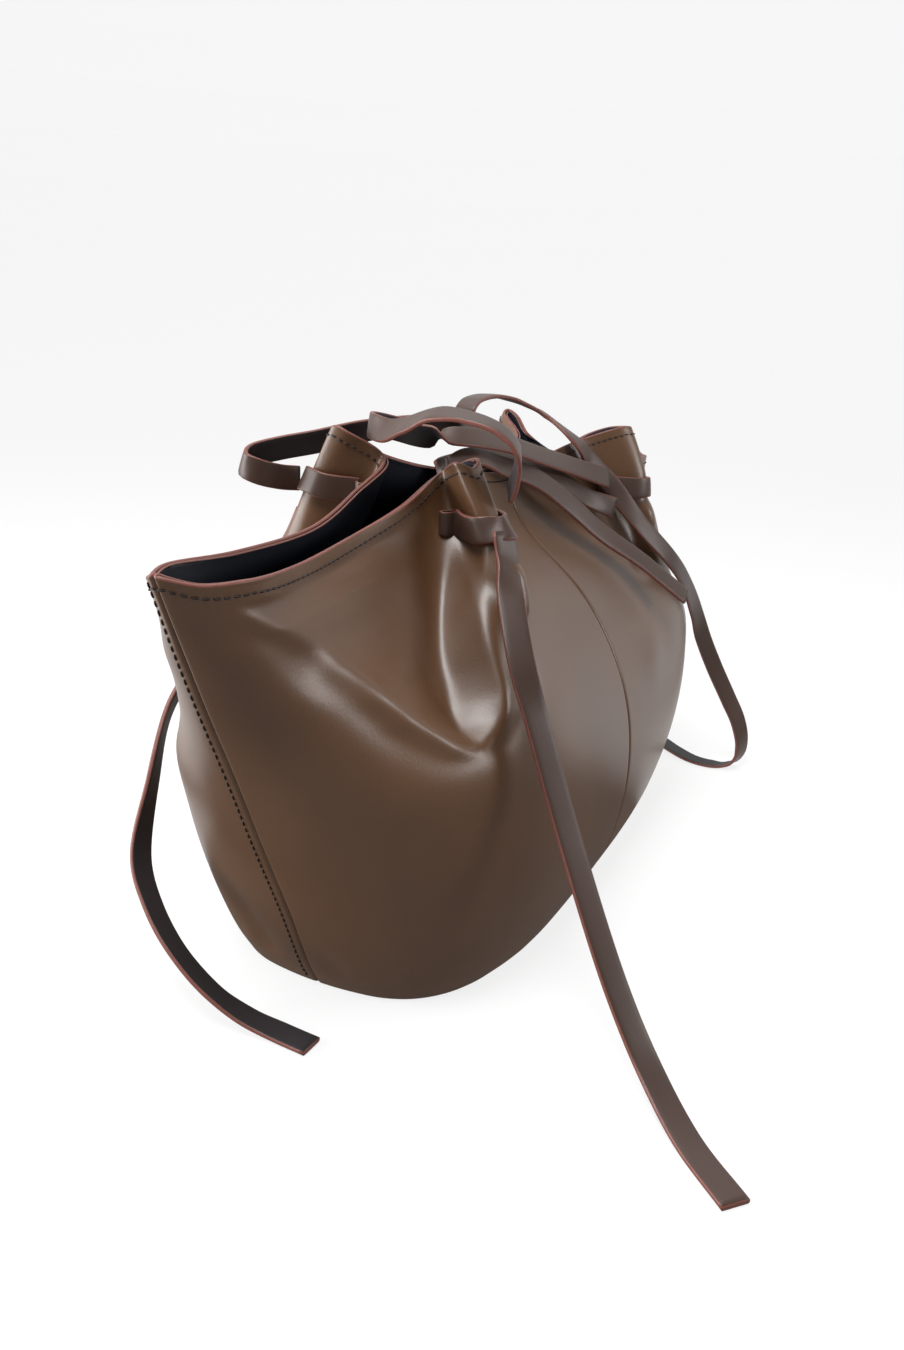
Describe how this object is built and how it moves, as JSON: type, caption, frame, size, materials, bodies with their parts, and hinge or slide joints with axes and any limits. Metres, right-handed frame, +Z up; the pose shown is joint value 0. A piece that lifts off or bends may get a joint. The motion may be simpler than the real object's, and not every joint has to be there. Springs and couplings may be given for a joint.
{
  "type": "bucket bag",
  "caption": "Wide open-topped leather bucket bag on an oval base, its rim pinched into corner fins by flat straps that form handles and hang as loose tails.",
  "frame": {"origin": "centre of the base's underside, on the surface it stands on", "axes": "+X along the bag's length to its right end, -Y to its front, +Z up"},
  "size_m": [0.537, 0.2964, 0.2602],
  "materials": {
    "leather_body": "smooth semi-gloss dark brown leather",
    "leather_facing": "smooth brown leather facing with painted tan edges",
    "strap_leather": "flat grey-brown leather strap with painted pinkish edges and a charcoal back",
    "lining": "matte navy woven lining",
    "board": "plain stiffener board, hidden"
  },
  "bodies": {
    "bag": {"base_panel": "leather_body", "base_board": "board", "panel_front_left": "leather_body", "panel_front_right": "leather_body", "panel_back_left": "leather_body", "panel_back_right": "leather_body", "facing_front_left": "leather_facing", "facing_front_right": "leather_facing", "facing_back_left": "leather_facing", "facing_back_right": "leather_facing", "lining_wall": "lining", "lining_floor": "lining", "wrap_front_left": "strap_leather", "wrap_front_right": "strap_leather", "wrap_back_left": "strap_leather", "wrap_back_right": "strap_leather", "tail_front_left": "strap_leather", "tail_front_right": "strap_leather", "tail_back_left": "strap_leather", "tail_back_right": "strap_leather"},
    "front_handle": {"handle_front": "strap_leather"},
    "back_handle": {"handle_back": "strap_leather"}
  },
  "joints": [
    {"name": "handle_front_swing", "type": "hinge", "parent": "bag", "child": "front_handle", "pos_m": [-0.094, -0.051, 0.223], "axis": [0.9962, 0.0524, -0.0699], "range_deg": [0, 75]},
    {"name": "handle_back_swing", "type": "hinge", "parent": "bag", "child": "back_handle", "pos_m": [-0.097, 0.06, 0.22], "axis": [-0.9989, 0.0444, 0.0166], "range_deg": [0, 40]}
  ]
}
